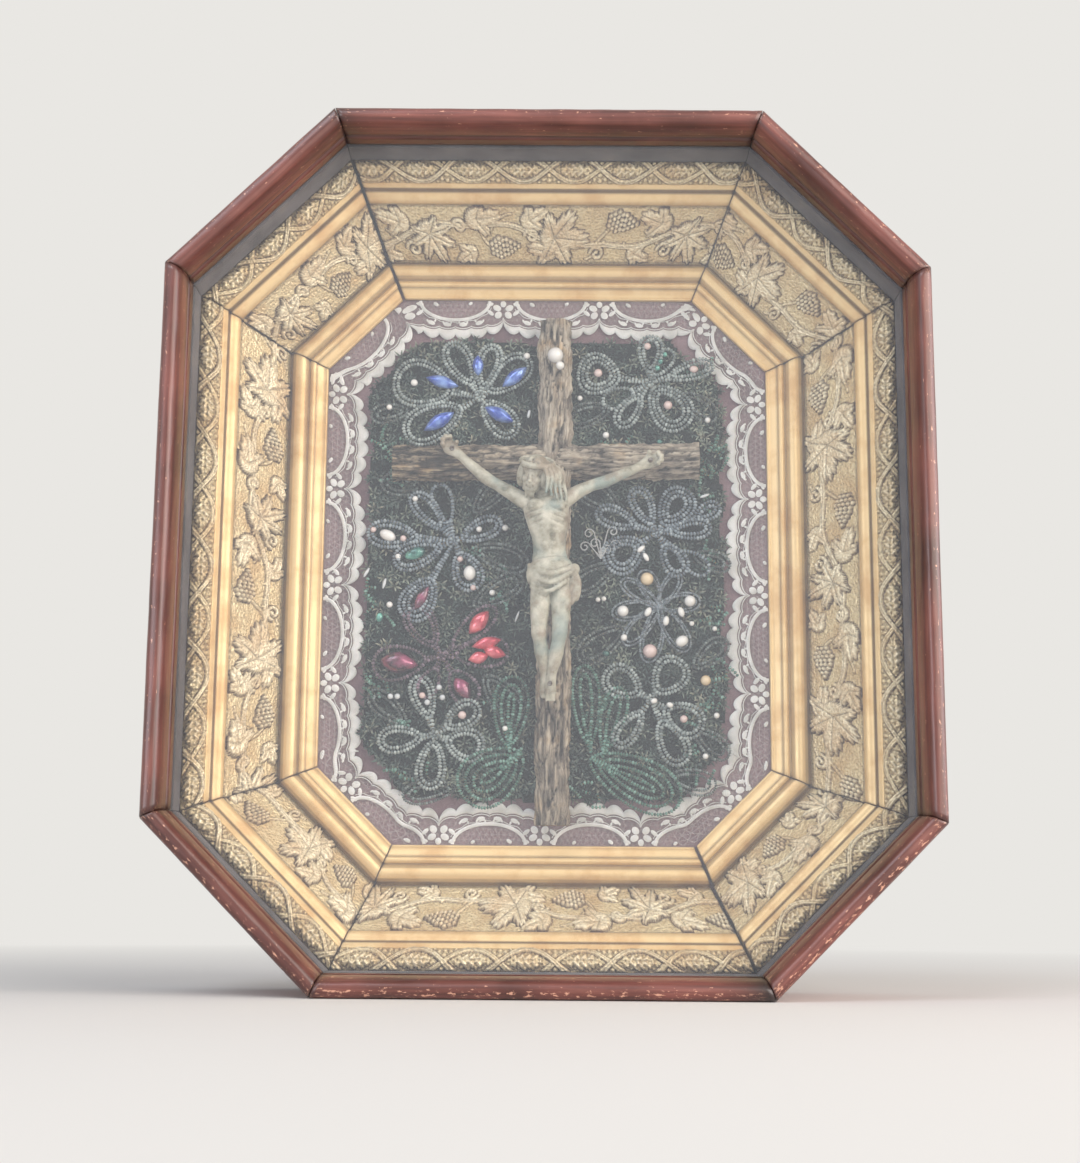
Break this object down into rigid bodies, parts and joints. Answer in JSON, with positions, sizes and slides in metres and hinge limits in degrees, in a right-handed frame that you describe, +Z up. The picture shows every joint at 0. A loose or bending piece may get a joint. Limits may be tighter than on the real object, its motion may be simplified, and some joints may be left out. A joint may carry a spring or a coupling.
{
  "type": "shadow box reliquary",
  "caption": "Octagonal glazed shadow box with a stained frame and a gilt vine liner, holding a crucifix among wired bead flowers edged with lace; a ring on the back hangs it.",
  "frame": {"origin": "middle of the underside of the bottom rail, half way through the frame's depth", "axes": "front of the box towards -Y, up along +Z, +X to the viewer's right"},
  "size_m": [0.31, 0.0973, 0.3592],
  "materials": {
    "raw_pine": "bare sawn pine",
    "bark_wood": "dry bark with pale splits",
    "cast_metal": "worn cream paint over cast metal",
    "grey_blue_beads": "grey seed beads with blue glass drops",
    "grey_beads": "grey glass seed beads",
    "pearl_beads": "pearls on fine wire",
    "plum_red_beads": "coral and plum foil with dark beads",
    "stained_wood": "dark red stain under worn shellac",
    "clear_glass": "old flat glass, a little dusty",
    "brass_wire": "dull brass",
    "cotton_lace": "off-white machine lace",
    "green_beads": "dark green glass seed beads",
    "gilt_compo": "burnished gilt over moulded compo",
    "dried_moss": "dark green dried moss",
    "steel_wire": "dull steel",
    "pearl": "pearly white",
    "painted_strip": "dull dark grey paint",
    "mauve_velvet": "faded short pile"
  },
  "bodies": {
    "box": {"backboard": "raw_pine", "cross_arm": "bark_wood", "cross_post": "bark_wood", "display_board": "raw_pine", "figure": "cast_metal", "flower_blue": "grey_blue_beads", "flower_lower_left": "grey_beads", "flower_lower_right": "grey_beads", "flower_middle_left": "grey_beads", "flower_middle_right": "grey_beads", "flower_pearl": "pearl_beads", "flower_red": "plum_red_beads", "flower_upper_right": "grey_beads", "frame_bottom": "stained_wood", "frame_left": "stained_wood", "frame_lower_left": "stained_wood", "frame_lower_right": "stained_wood", "frame_right": "stained_wood", "frame_top": "stained_wood", "frame_upper_left": "stained_wood", "frame_upper_right": "stained_wood", "glass_pane": "clear_glass", "lace_bottom": "cotton_lace", "lace_left": "cotton_lace", "lace_lower_left": "cotton_lace", "lace_lower_right": "cotton_lace", "lace_right": "cotton_lace", "lace_top": "cotton_lace", "lace_upper_left": "cotton_lace", "lace_upper_right": "cotton_lace", "leaves_left": "green_beads", "leaves_right": "green_beads", "liner_bottom": "gilt_compo", "liner_left": "gilt_compo", "liner_lower_left": "gilt_compo", "liner_lower_right": "gilt_compo", "liner_right": "gilt_compo", "liner_top": "gilt_compo", "liner_upper_left": "gilt_compo", "liner_upper_right": "gilt_compo", "moss_bed": "dried_moss", "pin_feet": "steel_wire", "pin_left_hand": "steel_wire", "pin_right_hand": "steel_wire", "post_pearls": "pearl", "screw_eye": "brass_wire", "spacer_bottom": "painted_strip", "spacer_left": "painted_strip", "spacer_lower_left": "painted_strip", "spacer_lower_right": "painted_strip", "spacer_right": "painted_strip", "spacer_top": "painted_strip", "spacer_upper_left": "painted_strip", "spacer_upper_right": "painted_strip", "sprig_lower_left": "steel_wire", "sprig_lower_right": "steel_wire", "sprig_upper_left": "steel_wire", "sprig_upper_right": "steel_wire", "velvet_cloth": "mauve_velvet"},
    "ring": {"hanging_ring": "brass_wire"}
  },
  "joints": [
    {"name": "ring_swing", "type": "hinge", "parent": "box", "child": "ring", "pos_m": [0, 0.0492, 0.3534], "axis": [1, 0, 0], "range_deg": [-30, 225]}
  ]
}
